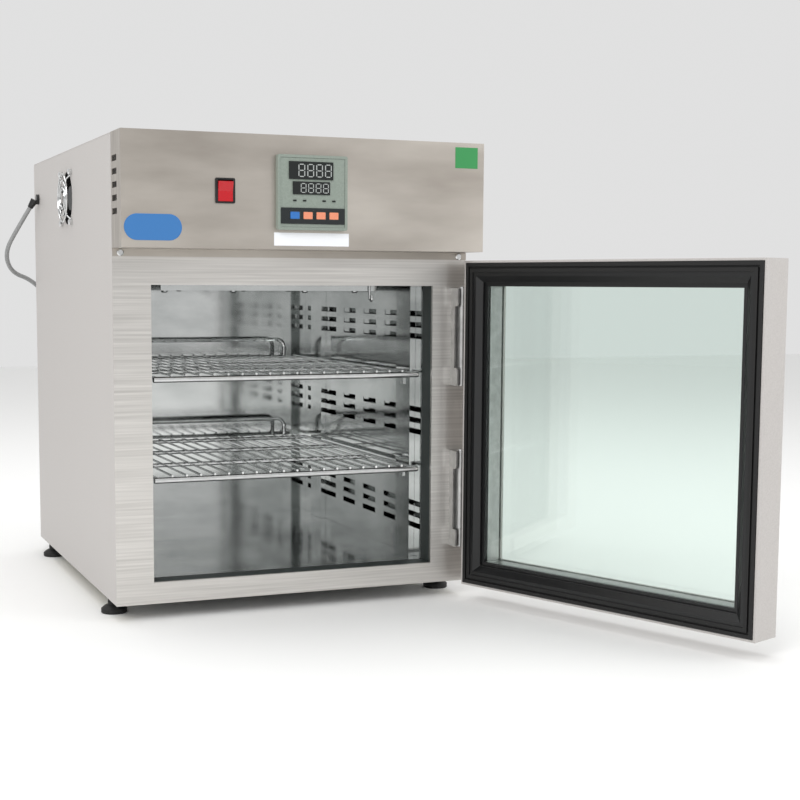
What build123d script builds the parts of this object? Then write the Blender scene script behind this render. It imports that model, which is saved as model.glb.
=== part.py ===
from build123d import *
import os
from math import atan2, cos, degrees, hypot, pi, radians, sin, tan

# Bench-top laboratory incubator, in millimetres.
# X runs to the right, Y to the rear and Z up. The origin is on the bench, on the cabinet's
# centre line, in the plane of the front frame that the door closes against.

# Cabinet
CASE_W = 500.0          # outside width
CASE_D = 580.0          # front frame to rear panel
CASE_H = 612.0          # underside of the base pan to the top cover
FOOT_H = 22.0           # bench to base pan
SKIN = 1.2              # outer sheet metal
FOLD = 14.0             # folded-in edge of a panel
SEAT = 0.2              # gap between pieces that are assembled face to face

# Header box with the controls
HEADER_H = 146.0
HEADER_OUT = 54.0       # how far it stands in front of the front frame
STRIP_H = 10.0          # trim strip under the header
VENT_COUNT = 5
VENT_PITCH = 16.6
VENT_H = 7.6
VENT_L = 27.0
VENT_INSET = 4.0        # from the rear edge of the header's side
VENT_DROP = 30.0        # top of the header to the upper edge of the first vent

# Chamber
OPEN_W = 400.0
OPEN_H = 391.0
SILL_H = 28.5           # base pan underside to chamber floor
LIP = 5.0               # folded edge round the door opening
BREAKER_D = 34.0        # front frame to the rear of the thermal break
BREAKER_T = 12.0
CHAMBER_D = 493.0       # thermal break to back wall
LINER_T = 1.0
PLENUM = 12.0           # air space behind each slotted duct panel
AIR_SLOT_L = 51.0
AIR_SLOT_H = 7.8
AIR_SLOT_PITCH = 85.3
AIR_ROW_PITCH = 16.0
AIR_GROUP_PITCH = 137.0
AIR_FIRST_Y = 36.0
AIR_FIRST_Z = 61.5      # chamber floor to the middle row of the lowest group

# Shelf supports and shelves
UPRIGHT_W = 50.0
UPRIGHT_OUT = 8.5
UPRIGHT_FRONT_Y = 83.0  # centre of the front pair
UPRIGHT_REAR_Y = 450.0
SHELF_HEIGHTS = {"shelf_upper": 266.0, "shelf_middle": 131.5}   # above the chamber floor
SHELF_FRONT_Y = 29.0
SHELF_REAR_Y = 490.0
RAIL_R = 4.0
BORDER_R = 3.0
WIRE_R = 1.5
WIRE_PITCH = 19.6
WIRE_COUNT = 18
RAIL_L = 384.0
UPSTAND_W = 300.0
UPSTAND_H = 32.0
UPSTAND_BEND = 13.0
CLIP_W = 12.0
CLIP_T = 3.0

# Ceiling tray, its fan and the probe
TRAY_W = 320.0
TRAY_L = 320.0
TRAY_Y = 108.0
TRAY_H = 7.8
WELL_R = 55.0
WELL_H = 34.0
IMPELLER_R = 46.0
IMPELLER_H = 24.0
BLADE_COUNT = 14
SHAFT_R = 3.0
MOTOR_R = 32.0
MOTOR_H = 36.0
PROBE_R = 1.8
HEATER_R = 3.0
HEATER_BEND = 30.0

# Side cooling fan
FAN_SIZE = 80.0
FAN_T = 25.0
FAN_Y = 298.0
FAN_Z = 566.0
FAN_BORE_R = 38.0
FAN_HUB_R = 18.0
FAN_HOLE_SPAN = 71.5
FAN_BLADES = 7
FAN_SHAFT_R = 1.5
GUARD_RINGS = (34.5, 25.0, 15.5)
GUARD_WIRE_R = 1.1
GUARD_OUT = 7.0
GUARD_EYE_T = 2.6
GUARD_WELD = 0.5        # how deep the rings are welded into the arms

# Controller and switch
CTRL_SIZE = 96.0
CTRL_CUTOUT = 92.0
CTRL_BEZEL = 8.0
CTRL_DEPTH = 74.0
CTRL_RIM = 3.5
CTRL_RECESS = 2.6
KEY_W = 12.4
KEY_H = 9.0
KEY_PITCH = 17.9
KEY_DROP = 29.3         # controller centre down to the keys
KEY_GAP = 0.3
KEY_T = 4.6
KEY_PROUD = 0.8
KEY_TRAVEL = 1.0
SWITCH_X = -116.0
SWITCH_W = 26.0
SWITCH_H = 32.0
SWITCH_RIM = 2.0
ROCKER_W = 19.4
ROCKER_H = 25.2
ROCKER_TILT = 8.0
BADGE_X = -209.7
BADGE_W = 74.0
BADGE_H = 33.0
BADGE_T = 1.0

# Door
DOOR_W = 472.0
DOOR_H = 453.0
DOOR_T = 50.0
DOOR_REST_ANGLE = 111.6
DOOR_EDGE_X = 225.0     # hinge-side edge of the closed door
DOOR_BOTTOM_Z = 23.5
DOOR_GAP = 2.0          # closed door to front frame, filled by the gasket
DOOR_SKIN = 3.0
DOOR_BORDER = 35.0      # frame width round the glass
DOOR_BEVEL = 4.0
GASKET_W = 13.0
GASKET_SEAT = 3.0
GASKET_PROUD = 1.5
GLASS_T = 4.0
GLASS_GRIP = 10.0       # how far a pane reaches under the border
PANE_DEPTH = 14.0       # door's inner face to the inner pane
SPACER_T = 24.0
HANDLE_R = 5.0
HANDLE_L = 140.0
HANDLE_OUT = 25.0
HANDLE_INSET = 25.0

# Hinges
PIVOT_X = 239.5
PIVOT_Y = -14.0
HINGE_HEIGHTS = {"lower": 142.5, "upper": 370.5}
HINGE_L = 136.0
ARM_L = 25.0
ARM_X = 228.5
ARM_OUT = 22.0
ARM_WEB_OUT = 12.0
HINGE_T = 2.5
KNUCKLE_R = 6.0
PIN_R = 3.0
PIN_CLEARANCE = 0.05
KNUCKLE_GAP = 0.5

# Feet
FOOT_X = 239.0
FOOT_FRONT_Y = 67.5
FOOT_REAR_Y = 515.0
FOOT_R = 17.5
STEM_R = 5.0
STEM_TOP = 40.0
THREAD_CLEARANCE = 0.06

# Mains lead
CORD_R = 3.5
GLAND_Y = 539.0
GLAND_Z = 576.0
GLAND_R = 8.0
GLAND_FLANGE = 4.0
GLAND_SLEEVE = 14.0
COIL_X = -150.0
COIL_Y = 648.0
COIL_TURN_R = 38.5      # to the middle of the turns
COIL_TURNS_WIDE = 2
COIL_TURNS_HIGH = 2
PLUG_L = 46.0
PLUG_W = 34.0
PLUG_T = 22.0

# Levels and planes that follow from the sizes above
SIDE_X = CASE_W / 2
TOP_Z = FOOT_H + CASE_H
HEADER_Z = TOP_Z - HEADER_H
FLOOR_Z = FOOT_H + SILL_H
CEILING_Z = FLOOR_Z + OPEN_H
BACK_Y = BREAKER_D + CHAMBER_D
WALL_X = OPEN_W / 2
LINER_X = WALL_X + PLENUM
DECK_Z = HEADER_Z
STRIP_Z = HEADER_Z - STRIP_H
FASCIA_Y = -HEADER_OUT
CTRL_Z = HEADER_Z + HEADER_H / 2
SWITCH_Z = CTRL_Z
BADGE_Z = HEADER_Z + 25.5
INSIDE_X = SIDE_X - SKIN - SEAT
REAR_Y = CASE_D - SKIN - SEAT
UPRIGHT_X = WALL_X - UPRIGHT_OUT
TRAY_CENTRE_Y = TRAY_Y + TRAY_L / 2
TRAY_Z = CEILING_Z - TRAY_H


# ---------------------------------------------------------------- helpers

def block(x, y, z):
    """Box between three pairs of limits."""
    limits = (x, y, z)
    size = [high - low for low, high in limits]
    centre = [(high + low) / 2 for low, high in limits]
    return Pos(*centre) * Box(*size)


def rod(start, end, radius):
    """Round bar from one point to another."""
    start, end = Vector(start), Vector(end)
    axis = end - start
    return Solid.make_cylinder(radius, axis.length, Plane(origin=start, z_dir=axis))


def bent_wire(points, bend, radius):
    """Round wire along straight runs joined by bends of one radius."""
    path = FilletPolyline(*points, radius=bend)
    section = Plane(origin=path @ 0, z_dir=path % 0) * Circle(radius)
    return sweep(section, path=path)


def folded_section(points, thickness):
    """Face of a folded sheet, from the outer line of its section with the metal on the left."""
    line = [Vector(*point) for point in points]
    inner = []
    for index, point in enumerate(line):
        sides = []
        if index > 0:
            sides.append((point - line[index - 1]).normalized())
        if index < len(line) - 1:
            sides.append((line[index + 1] - point).normalized())
        normals = [Vector(-side.Y, side.X) for side in sides]
        middle = (normals[0] + normals[-1]).normalized()
        reach = thickness / middle.dot(normals[0])
        inner.append(point + middle * reach)
    return make_face(Polyline(*line, *reversed(inner), close=True))


def folded_upright(points, thickness, z):
    """Folded sheet whose section lies in plan, between two levels."""
    section = folded_section(points, thickness)
    return Pos(0, 0, z[0]) * extrude(section, z[1] - z[0])


def folded_lengthwise(points, thickness, y):
    """Folded sheet whose section lies across the cabinet (X, Z), between two depths."""
    section = Plane.XZ * folded_section(points, thickness)
    return Pos(0, y[0], 0) * extrude(section, y[0] - y[1])


def frame_ring(x, z, border, y):
    """Rectangular ring of one border width, standing in the X, Z plane."""
    outer = block(x, y, z)
    hole_x = (x[0] + border, x[1] - border)
    hole_z = (z[0] + border, z[1] - border)
    return outer - block(hole_x, (y[0] - 1, y[1] + 1), hole_z)


def mirrored(shape):
    """The same piece on the other side of the centre line."""
    return mirror(shape, about=Plane.YZ)


def swung(shape):
    """Turn a piece of the closed door to the open rest position."""
    pivot = Pos(PIVOT_X, PIVOT_Y, 0)
    return pivot * Rot(0, 0, DOOR_REST_ANGLE) * pivot.inverse() * shape


# ---------------------------------------------------------------- cabinet shell

def side_panel_blank():
    """Left side: one sheet with its front, rear and top edges folded in."""
    front, rear = SKIN + SEAT, CASE_D - SKIN - SEAT
    outline = [(-SIDE_X + FOLD, rear), (-SIDE_X, rear), (-SIDE_X, front), (-SIDE_X + FOLD, front)]
    top = TOP_Z - SKIN - SEAT
    panel = folded_upright(outline, SKIN, (FOOT_H, top))
    return panel + block((-SIDE_X, -SIDE_X + FOLD), (front, rear), (top - SKIN, top))


def fan_hole_places():
    """Y, Z centres of the four holes that hold the side fan and its guard."""
    half = FAN_HOLE_SPAN / 2
    return [(FAN_Y + sy * half, FAN_Z + sz * half) for sy in (-1, 1) for sz in (-1, 1)]


def side_panel_left():
    panel = side_panel_blank()
    outside = -SIDE_X - 1
    panel -= rod((outside, FAN_Y, FAN_Z), (-INSIDE_X + 1, FAN_Y, FAN_Z), FAN_BORE_R)
    for y, z in fan_hole_places():
        panel -= rod((outside, y, z), (-INSIDE_X + 1, y, z), GUARD_SCREW_R + PIN_CLEARANCE)
    gland_hole = GLAND_STEM_R + PIN_CLEARANCE
    return panel - rod((outside, GLAND_Y, GLAND_Z), (-INSIDE_X + 1, GLAND_Y, GLAND_Z), gland_hole)


def side_panel_right():
    return mirrored(side_panel_blank())


def top_cover():
    """Flat lid with its rear edge folded down over the rear panel's top."""
    lid = block((-SIDE_X, SIDE_X), (0, CASE_D), (TOP_Z - SKIN, TOP_Z))
    return fillet(lid.edges().filter_by(Axis.Z), 3.0)


def rear_panel():
    top = TOP_Z - SKIN - SEAT
    panel = block((-SIDE_X, SIDE_X), (CASE_D - SKIN, CASE_D), (FOOT_H, top))
    return fillet(panel.edges().filter_by(Axis.Y), 3.0)


def foot_places():
    """Names and X, Y centres of the four levelling feet."""
    return {
        "foot_front_left": (-FOOT_X, FOOT_FRONT_Y),
        "foot_front_right": (FOOT_X, FOOT_FRONT_Y),
        "foot_rear_left": (-FOOT_X, FOOT_REAR_Y),
        "foot_rear_right": (FOOT_X, FOOT_REAR_Y),
    }


def base_pan():
    """Floor of the cabinet: a tray with a threaded boss over each foot."""
    front, rear = SKIN + 2 * SEAT, REAR_Y - SKIN - SEAT
    pan_x = INSIDE_X - FOLD
    pan = block((-pan_x, pan_x), (front, rear), (FOOT_H, FOOT_H + SKIN))
    for x, y in foot_places().values():
        side = 1 if x > 0 else -1
        inner = x - side * (BOSS_R + FOLD)
        outer = side * (INSIDE_X - SEAT)
        shoe = block(sorted((inner, outer)), (y - 30, y + 30), (FOOT_H, FOOT_H + SKIN))
        pan += shoe + rod((x, y, FOOT_H), (x, y, FOOT_H + BOSS_H), BOSS_R)
    for x, y in foot_places().values():
        pan -= rod((x, y, FOOT_H - 1), (x, y, FOOT_H + BOSS_H + 1), STEM_R + THREAD_CLEARANCE)
    return pan


BOSS_R = 8.5
BOSS_H = 16.0
GUARD_SCREW_R = 2.0
GLAND_STEM_R = 6.0


def front_frame():
    """Stainless face of the cabinet, with a folded lip round the door opening."""
    plate = block((-SIDE_X, SIDE_X), (0, SKIN), (FOOT_H, HEADER_Z - SKIN - SEAT))
    lip = block((-WALL_X - SKIN, WALL_X + SKIN), (0, LIP), (FLOOR_Z - SKIN, CEILING_Z + SKIN))
    hole = block((-WALL_X, WALL_X), (-1, LIP + 1), (FLOOR_Z, CEILING_Z))
    return plate + lip - hole


def header_strip():
    """Trim strip that covers the top edge of the front frame."""
    outline = [(-SKIN - SEAT, STRIP_Z), (-SKIN - SEAT, HEADER_Z - SEAT), (-SEAT, HEADER_Z - SEAT), (-SEAT, STRIP_Z)]
    section = Plane.YZ * make_face(Polyline(*outline, close=True))
    return Pos(-SIDE_X, 0, 0) * extrude(section, CASE_W)


def header_fascia():
    """Folded stainless box, open at the rear, with vents in both sides."""
    box = block((-SIDE_X, SIDE_X), (FASCIA_Y, 0), (HEADER_Z, TOP_Z))
    rear = box.faces().sort_by(Axis.Y)[-1]
    shell = offset(box, amount=-SKIN, openings=rear)
    for index in range(VENT_COUNT):
        top = TOP_Z - VENT_DROP - index * VENT_PITCH
        ends = (-VENT_INSET - VENT_L, -VENT_INSET)
        shell -= block((-SIDE_X - 1, SIDE_X + 1), ends, (top - VENT_H, top))
    half = CTRL_CUTOUT / 2
    through = (FASCIA_Y - 1, FASCIA_Y + SKIN + 1)
    shell -= block((-half, half), through, (CTRL_Z - half, CTRL_Z + half))
    switch_x = (SWITCH_X - SWITCH_BODY_W / 2 - SEAT, SWITCH_X + SWITCH_BODY_W / 2 + SEAT)
    switch_z = (SWITCH_Z - SWITCH_BODY_H / 2 - SEAT, SWITCH_Z + SWITCH_BODY_H / 2 + SEAT)
    return shell - block(switch_x, through, switch_z)


SWITCH_BODY_W = 23.0
SWITCH_BODY_H = 29.0


def control_deck():
    """Sheet over the insulation that carries the controls and the fan motor."""
    deck = block((-INSIDE_X + FOLD, INSIDE_X - FOLD), (SKIN + SEAT, REAR_Y - SKIN - SEAT), (DECK_Z - SKIN, DECK_Z))
    hole = rod((0, TRAY_CENTRE_Y, DECK_Z - 5), (0, TRAY_CENTRE_Y, DECK_Z + 1), 2 * SHAFT_R)
    return deck - hole


def insulation():
    """Foam between the outer skin and the liner, in one piece."""
    side = INSIDE_X - SEAT
    foam = block((-side, side), (SKIN + SEAT, REAR_Y - SKIN - SEAT), (FOOT_H + SKIN + SEAT, DECK_Z - SKIN - SEAT))
    lip = SKIN + SEAT
    foam -= block((-WALL_X - lip, WALL_X + lip), (0, LIP + SEAT), (FLOOR_Z - lip, CEILING_Z + lip))
    ring = BREAKER_T + SEAT
    foam -= block((-WALL_X - ring, WALL_X + ring), (LIP, BREAKER_D + SEAT), (FLOOR_Z - ring, CEILING_Z + ring))
    skin = LINER_T + SEAT
    foam -= block((-LINER_X - skin, LINER_X + skin), (LIP, BACK_Y + skin), (FLOOR_Z - skin, CEILING_Z + skin))
    axis = (0, TRAY_CENTRE_Y)
    foam -= rod((*axis, CEILING_Z), (*axis, CEILING_Z + WELL_H + skin), WELL_R + skin)
    foam -= rod((*axis, CEILING_Z), (*axis, DECK_Z), 2 * SHAFT_R)
    for x, y in foot_places().values():
        foam -= rod((x, y, FOOT_H), (x, y, FOOT_H + BOSS_H + 4 * SEAT), BOSS_R + SEAT)
        foam -= rod((x, y, FOOT_H), (x, y, STEM_TOP + 3), STEM_R + 1)
    for sign in (-1, 1):
        for edge in ((SKIN, SKIN * 2 + 2 * SEAT), (REAR_Y - 2 * SKIN - 2 * SEAT, REAR_Y)):
            inner = sign * (SIDE_X - FOLD - SEAT)
            fold_x = sorted((inner, sign * SIDE_X))
            foam -= block(fold_x, edge, (FOOT_H, DECK_Z))
    return foam


# ---------------------------------------------------------------- chamber

def breaker_frame():
    """Dark plastic frame that keeps the liner's heat from the front frame."""
    x = (-WALL_X - BREAKER_T, WALL_X + BREAKER_T)
    z = (FLOOR_Z - BREAKER_T, CEILING_Z + BREAKER_T)
    return frame_ring(x, z, BREAKER_T, (LIP + SEAT, BREAKER_D))


def chamber_liner():
    """Five-sided stainless box with a drawn well in its ceiling for the fan."""
    front = BREAKER_D + SEAT
    outer = block((-LINER_X - LINER_T, LINER_X + LINER_T), (front, BACK_Y + LINER_T), (FLOOR_Z - LINER_T, CEILING_Z + LINER_T))
    axis = (0, TRAY_CENTRE_Y)
    outer += rod((*axis, CEILING_Z), (*axis, CEILING_Z + WELL_H + LINER_T), WELL_R + LINER_T)
    inner = block((-LINER_X, LINER_X), (front - 1, BACK_Y), (FLOOR_Z, CEILING_Z))
    inner += rod((*axis, CEILING_Z - 1), (*axis, CEILING_Z + WELL_H), WELL_R)
    inner += rod((*axis, CEILING_Z), (*axis, CEILING_Z + WELL_H + 5), SHAFT_R + 1)
    return outer - inner


def duct_panel_right():
    """Slotted inner wall; warm air comes out of the space behind it."""
    front, rear = BREAKER_D + 2 * SEAT, BACK_Y - SEAT
    deep = LINER_X - SEAT
    outline = [(deep, rear), (WALL_X, rear), (WALL_X, front), (deep, front)]
    panel = folded_upright(outline, LINER_T, (FLOOR_Z + SEAT, CEILING_Z - SEAT))
    columns = int((rear - AIR_FIRST_Y - AIR_SLOT_L) / AIR_SLOT_PITCH) + 1
    slots = []
    for group in range(3):
        for row in (-1, 0, 1):
            z = FLOOR_Z + AIR_FIRST_Z + group * AIR_GROUP_PITCH + row * AIR_ROW_PITCH
            for column in range(columns):
                y = max(AIR_FIRST_Y + column * AIR_SLOT_PITCH, front + LINER_T + 1)
                end = AIR_FIRST_Y + column * AIR_SLOT_PITCH + AIR_SLOT_L
                slots.append(block((WALL_X - 1, WALL_X + LINER_T + 1), (y, end), (z - AIR_SLOT_H / 2, z + AIR_SLOT_H / 2)))
    return panel - slots


def duct_panel_left():
    return mirrored(duct_panel_right())


def upright_right(centre_y):
    """Folded channel that stands against the duct panel and carries the shelf clips."""
    near, far = centre_y - UPRIGHT_W / 2, centre_y + UPRIGHT_W / 2
    wall = WALL_X - SEAT
    outline = [(wall, far), (UPRIGHT_X, far), (UPRIGHT_X, near), (wall, near)]
    return folded_upright(outline, LINER_T, (FLOOR_Z + SEAT, CEILING_Z - SEAT))


def shelf_clips():
    """Small angle clips on the uprights, four under each shelf."""
    clips = []
    for height in SHELF_HEIGHTS.values():
        top = FLOOR_Z + height - BORDER_R + BORDER_LIFT - SHELF_REST
        for y in (UPRIGHT_FRONT_Y, UPRIGHT_REAR_Y):
            face = UPRIGHT_X - SEAT
            tip = BORDER_X - BORDER_R
            outline = [(face, top - CLIP_DROP), (face, top), (tip, top)]
            section = Plane.XZ * folded_section(outline, CLIP_T / 2)
            clip = Pos(0, y + CLIP_W / 2, 0) * extrude(section, CLIP_W)
            clips += [clip, mirrored(clip)]
    return clips


CLIP_DROP = 14.0
SHELF_REST = 0.3
BORDER_LIFT = 1.0
BORDER_X = (WIRE_COUNT + 1) * WIRE_PITCH / 2


def thin_wire(start, end):
    """Depth wire of a shelf, with an eight-sided section to keep its mesh light."""
    start, end = Vector(*start), Vector(*end)
    plane = Plane(origin=start, x_dir=(1, 0, 0), z_dir=end - start)
    return extrude(plane * Rot(0, 0, 22.5) * RegularPolygon(WIRE_R, 8, major_radius=False), (end - start).length)


def shelf_upstand(z):
    """Bent wire loop that stands up along the rear edge of a shelf."""
    side = UPSTAND_W / 2
    y = SHELF_REAR_Y + 2 * BORDER_R
    corners = [(-side, y, z - BORDER_R), (-side, y, z + UPSTAND_H), (side, y, z + UPSTAND_H), (side, y, z - BORDER_R)]
    path = FilletPolyline(*corners, radius=UPSTAND_BEND)
    section = Plane(origin=path @ 0, z_dir=path % 0) * RegularPolygon(BORDER_R, 8, major_radius=False)
    return sweep(section, path=path)


def wire_shelf(height):
    """Welded wire shelf: a thick front rail, a border, cross bars and thin wires on top."""
    z = FLOOR_Z + height
    border_z = z + RAIL_R - BORDER_R
    wire_z = z + RAIL_R + WIRE_R
    half = RAIL_L / 2
    rail = rod((-half, SHELF_FRONT_Y, z), (half, SHELF_FRONT_Y, z), RAIL_R)
    rail = chamfer(rail.faces().filter_by(GeomType.PLANE).edges(), RAIL_R / 3)
    start, end = SHELF_FRONT_Y + RAIL_R, SHELF_REAR_Y + BORDER_R
    wires = [rail, shelf_upstand(border_z)]
    for x in (-BORDER_X, BORDER_X):
        wires.append(rod((x, start, border_z), (x, end, border_z), BORDER_R))
    cross = BORDER_X - BORDER_R
    for share in (1 / 3, 2 / 3, 1):
        y = SHELF_FRONT_Y + share * (SHELF_REAR_Y - SHELF_FRONT_Y)
        wires.append(rod((-cross, y, border_z), (cross, y, border_z), BORDER_R))
    for index in range(WIRE_COUNT):
        x = (index - (WIRE_COUNT - 1) / 2) * WIRE_PITCH
        wires.append(thin_wire((x, SHELF_FRONT_Y - RAIL_R / 2, wire_z), (x, end, wire_z)))
    return wires


def ceiling_tray():
    """Folded tray under the fan well, with the fan's round inlet."""
    half = TRAY_W / 2
    y = (TRAY_Y, TRAY_Y + TRAY_L)
    tray = block((-half, half), y, (TRAY_Z, CEILING_Z - SEAT))
    tray = offset(tray, amount=-LINER_T, openings=tray.faces().sort_by(Axis.Z)[-1])
    tray -= rod((0, TRAY_CENTRE_Y, TRAY_Z - 1), (0, TRAY_CENTRE_Y, CEILING_Z), IMPELLER_R / 2)
    for x, y in tray_screw_places():
        tray -= rod((x, y, TRAY_Z - 1), (x, y, CEILING_Z), GUARD_SCREW_R + PIN_CLEARANCE)
    return tray


def tray_screw_places():
    """X, Y centres of the screws that hold the ceiling tray."""
    half = TRAY_W / 2
    ys = (TRAY_Y + 12, TRAY_Y + TRAY_L - 12)
    return [(x, y) for x in (8 - half, -half / 3, half / 3, half - 30) for y in ys]


def temperature_probe():
    """Hooked probe that hangs from the front edge of the ceiling tray."""
    x = TRAY_W / 2 - 12
    top = CEILING_Z - SEAT
    low = TRAY_Z - 14
    y = TRAY_Y - PROBE_R - SEAT
    points = [(x, y, top), (x, y, low), (x, y - 9, low), (x, y - 9, low + 8)]
    return bent_wire(points, 3.8, PROBE_R)


def heater_elements():
    """One sheathed loop in the air space behind each duct panel."""
    x = LINER_X - HEATER_R - 3 * SEAT
    low, high = FLOOR_Z + 20, CEILING_Z - 3
    near, far = BREAKER_D + 60, BACK_Y - 60
    corners = [(x, near, high), (x, near, low), (x, far, low), (x, far, high)]
    path = FilletPolyline(*corners, radius=HEATER_BEND)
    section = Plane(origin=path @ 0, z_dir=path % 0) * RegularPolygon(HEATER_R, 8, major_radius=False)
    loop = sweep(section, path=path)
    return [loop, mirrored(loop)]


# ---------------------------------------------------------------- fans

def circulation_motor():
    """Fan motor on the deck, with a flange and a bearing bore for the shaft."""
    axis = (0, TRAY_CENTRE_Y)
    base = DECK_Z + SEAT
    can = rod((*axis, base), (*axis, base + MOTOR_H), MOTOR_R)
    can = fillet(can.edges().group_by(Axis.Z)[-1], 4.0)
    flange = block((-MOTOR_R - 8, MOTOR_R + 8), (axis[1] - 12, axis[1] + 12), (base, base + 2))
    bore = rod((*axis, base - 1), (*axis, base + SHAFT_BEARING_L), SHAFT_R + PIN_CLEARANCE)
    return can + flange - bore


SHAFT_BEARING_L = 24.0


def circulation_fan():
    """Shaft and backward-curved impeller that turns in the ceiling well."""
    axis = (0, TRAY_CENTRE_Y)
    top = CEILING_Z + WELL_H - 4
    plate = rod((*axis, top - 1.5), (*axis, top), IMPELLER_R)
    hub = rod((*axis, top - IMPELLER_H), (*axis, top + 2), 3 * SHAFT_R)
    shaft = rod((*axis, top - IMPELLER_H), (*axis, DECK_Z + SEAT + SHAFT_BEARING_L - 2), SHAFT_R)
    wheel = plate + hub + shaft
    inner_r, outer_r = 0.55 * IMPELLER_R, IMPELLER_R - 0.5
    start = Vector(inner_r, 0)
    end = Vector(outer_r * cos(radians(-38)), outer_r * sin(radians(-38)))
    curve = ThreePointArc(start, (start + end) / 2 + Vector(2.5, 3.5), end)
    blade_face = trace(curve, line_width=1.4)
    blade = Pos(0, 0, top - IMPELLER_H) * extrude(blade_face, IMPELLER_H - 1)
    for index in range(BLADE_COUNT):
        wheel += Pos(*axis, 0) * Rot(0, 0, index * 360 / BLADE_COUNT) * blade
    return wheel


def side_fan_axis(x):
    """Point on the side fan's axis."""
    return (x, FAN_Y, FAN_Z)


def cooling_fan_frame():
    """Square plastic frame of the side fan, with a motor plate on four struts."""
    outer_x = -INSIDE_X
    half = FAN_SIZE / 2
    x = (outer_x, outer_x + FAN_T)
    frame = block(x, (FAN_Y - half, FAN_Y + half), (FAN_Z - half, FAN_Z + half))
    frame = fillet(frame.edges().filter_by(Axis.X), 5.0)
    frame -= rod(side_fan_axis(x[0] - 1), side_fan_axis(x[1] + 1), FAN_BORE_R)
    for y, z in fan_hole_places():
        frame -= rod((x[0] - 1, y, z), (x[1] + 1, y, z), GUARD_SCREW_R + PIN_CLEARANCE)
    plate_x = (x[1] - 4, x[1])
    plate = rod(side_fan_axis(plate_x[0]), side_fan_axis(plate_x[1]), FAN_HUB_R)
    for angle in (45, 135):
        strut = block((-2, 0), (-FAN_BORE_R - 1, FAN_BORE_R + 1), (-2, 2))
        plate += Pos(*side_fan_axis(x[1])) * Rot(angle, 0, 0) * strut
    frame += plate
    return frame - rod(side_fan_axis(plate_x[0] - 1), side_fan_axis(plate_x[1] + 1), FAN_SHAFT_R + PIN_CLEARANCE)


def cooling_fan_rotor():
    """Hub with pitched blades, on a short shaft that runs in the motor plate."""
    outer_x = -INSIDE_X + 3
    inner_x = -INSIDE_X + FAN_T - 5
    rotor = rod(side_fan_axis(outer_x), side_fan_axis(inner_x), FAN_HUB_R - 0.5)
    rotor += rod(side_fan_axis(inner_x - 1), side_fan_axis(inner_x + 4), FAN_SHAFT_R)
    middle = (outer_x + inner_x) / 2
    blade = block((-0.8, 0.8), (-9, 9), (FAN_HUB_R - 3, FAN_BORE_R - 1.5))
    blade = fillet(blade.edges().filter_by(Axis.X).group_by(Axis.Z)[-1], 6.0)
    blade = Rot(0, 0, 35) * blade
    for index in range(FAN_BLADES):
        rotor += Pos(*side_fan_axis(middle)) * Rot(index * 360 / FAN_BLADES, 0, 0) * blade
    return rotor


def fan_finger_guard():
    """Wire guard: three rings on four arms that step down to screwed eyes."""
    ring_x = -SIDE_X - GUARD_OUT
    foot_x = -SIDE_X - GUARD_WIRE_R - SEAT
    arm_x = ring_x + 2 * GUARD_WIRE_R - GUARD_WELD
    eye_r = hypot(FAN_HOLE_SPAN, FAN_HOLE_SPAN) / 2
    guard = Part()
    for ring in GUARD_RINGS:
        section = Plane.XZ * Pos(ring, 0) * RegularPolygon(GUARD_WIRE_R, 8, major_radius=False)
        guard += Pos(*side_fan_axis(ring_x)) * Rot(0, 90, 0) * revolve(section, Axis.Z)
    for index in range(4):
        angle = radians(45 + 90 * index)
        out = Vector(0, cos(angle), sin(angle))
        stations = ((arm_x, GUARD_RINGS[-1] - 4), (arm_x, GUARD_RINGS[0] + 3), (foot_x, eye_r - 6), (foot_x, eye_r - 2))
        points = [Vector(x, FAN_Y, FAN_Z) + out * r for x, r in stations]
        path = FilletPolyline(*points, radius=2.0)
        wire = Plane(origin=path @ 0, x_dir=(0, -out.Z, out.Y), z_dir=path % 0)
        guard += sweep(wire * RegularPolygon(GUARD_WIRE_R, 8, major_radius=False), path=path)
        eye = Vector(-SIDE_X - SEAT, FAN_Y, FAN_Z) + out * eye_r
        tip = eye - Vector(GUARD_EYE_T, 0, 0)
        guard += rod(eye, tip, 2 * GUARD_SCREW_R)
        guard -= rod((eye.X + 1, eye.Y, eye.Z), (tip.X - 1, tip.Y, tip.Z), GUARD_SCREW_R + PIN_CLEARANCE)
    return guard


# ---------------------------------------------------------------- controls

def key_places():
    """Names and X centres of the controller's keys, from left to right."""
    names = ("key_set", "key_shift", "key_down", "key_up")
    first = -1.5 * KEY_PITCH + 2.2
    return {name: first + index * KEY_PITCH for index, name in enumerate(names)}


def controller_housing():
    """Panel-mounting case: a front bezel and a body that passes through the header."""
    half = CTRL_SIZE / 2
    front = FASCIA_Y - CTRL_BEZEL
    bezel = block((-half, half), (front, FASCIA_Y), (CTRL_Z - half, CTRL_Z + half))
    bezel = fillet(bezel.edges().filter_by(Axis.Y), 2.5)
    rim = half - CTRL_RIM
    bezel -= block((-rim, rim), (front - 1, front + CTRL_RECESS), (CTRL_Z - rim, CTRL_Z + rim))
    body = CTRL_CUTOUT / 2 - SEAT
    case = block((-body, body), (FASCIA_Y, FASCIA_Y + CTRL_DEPTH), (CTRL_Z - body, CTRL_Z + body))
    housing = bezel + case
    for x in key_places().values():
        housing -= key_pocket(x, front + KEY_T + 2.5)
    return housing


def key_pocket(x, bottom_y):
    """Space that a key slides in, from in front of the controller to a depth."""
    half_w, half_h = KEY_W / 2 + KEY_GAP, KEY_H / 2 + KEY_GAP
    z = CTRL_Z - KEY_DROP
    return block((x - half_w, x + half_w), (FASCIA_Y - CTRL_BEZEL - 2, bottom_y), (z - half_h, z + half_h))


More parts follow.
